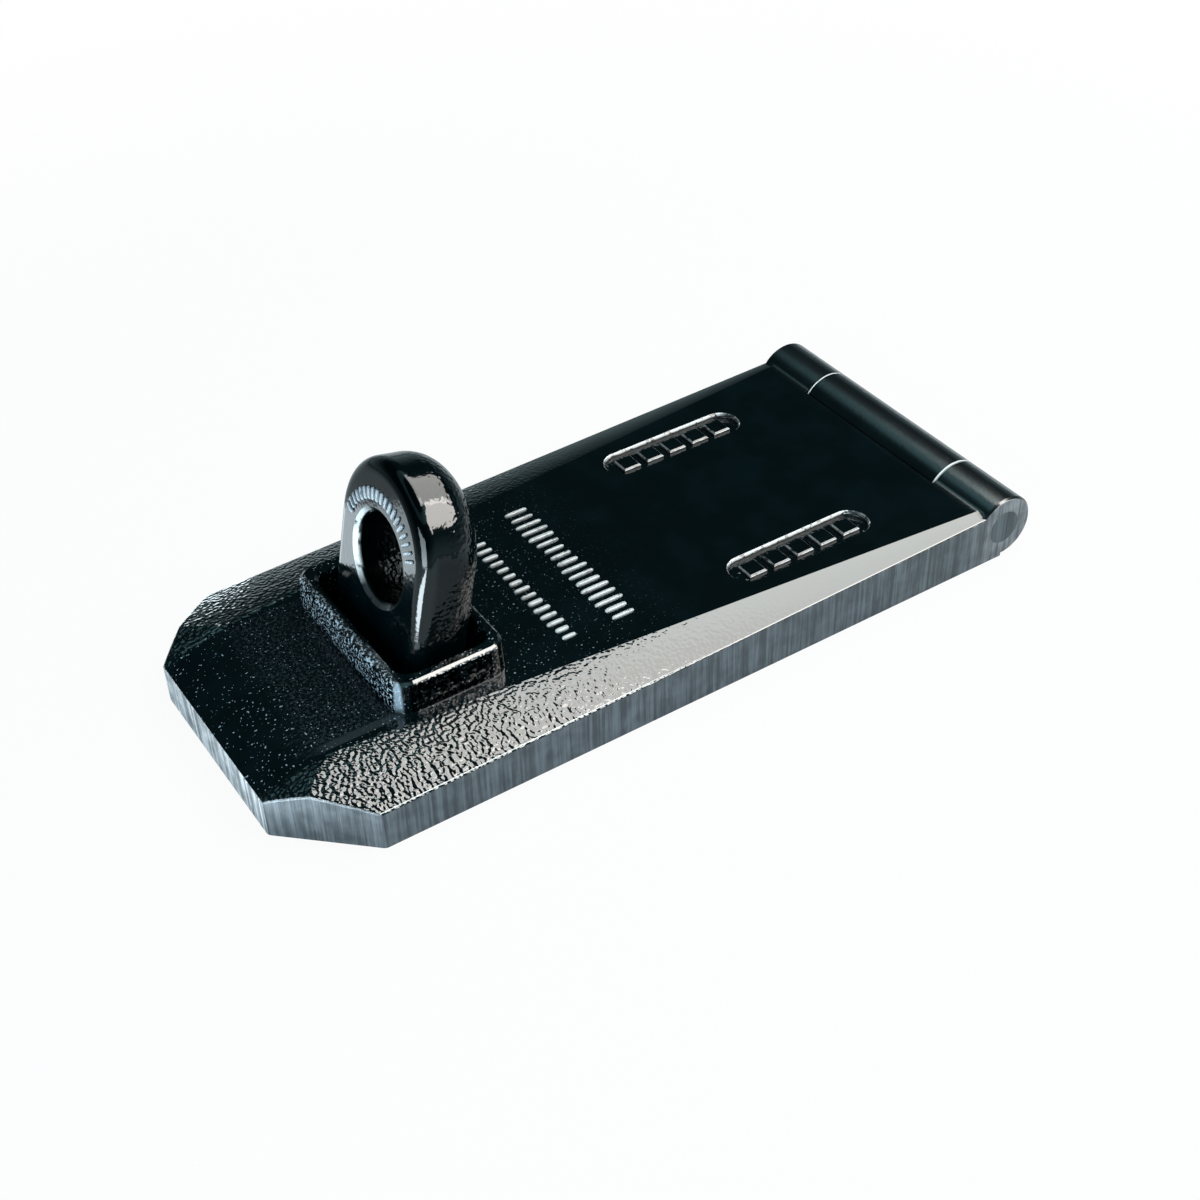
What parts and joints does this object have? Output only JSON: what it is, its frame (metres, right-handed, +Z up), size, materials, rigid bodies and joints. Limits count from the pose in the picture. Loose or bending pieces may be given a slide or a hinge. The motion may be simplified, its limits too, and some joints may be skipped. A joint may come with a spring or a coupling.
{
  "type": "padlock hasp",
  "caption": "Forged padlock hasp: a heavy cover leaf with cut corners and a raised slot swings on a pinned hinge and closes over a leaning staple eye.",
  "frame": {"origin": "on the fixing surface, under the middle of the closed leaf", "axes": "+X along the leaf towards the hinge, +Y across it, +Z up out of the fixing surface"},
  "size_m": [0.18, 0.079, 0.0531],
  "materials": {
    "leaf_paint": "black gloss paint over the forged skin, ground grey sides",
    "hinge_paint": "black gloss paint",
    "pin_paint": "ground flush and thinly painted",
    "staple_paint": "black gloss paint over the forged skin"
  },
  "bodies": {
    "mount": {"hinge_plate": "hinge_paint", "staple": "staple_paint"},
    "leaf": {"hasp_leaf": "leaf_paint", "hinge_pin": "pin_paint"}
  },
  "joints": [
    {"name": "leaf_hinge", "type": "hinge", "parent": "mount", "child": "leaf", "pos_m": [0.0824, 0, 0.0079], "axis": [0, 1, 0], "range_deg": [0, 175]}
  ]
}
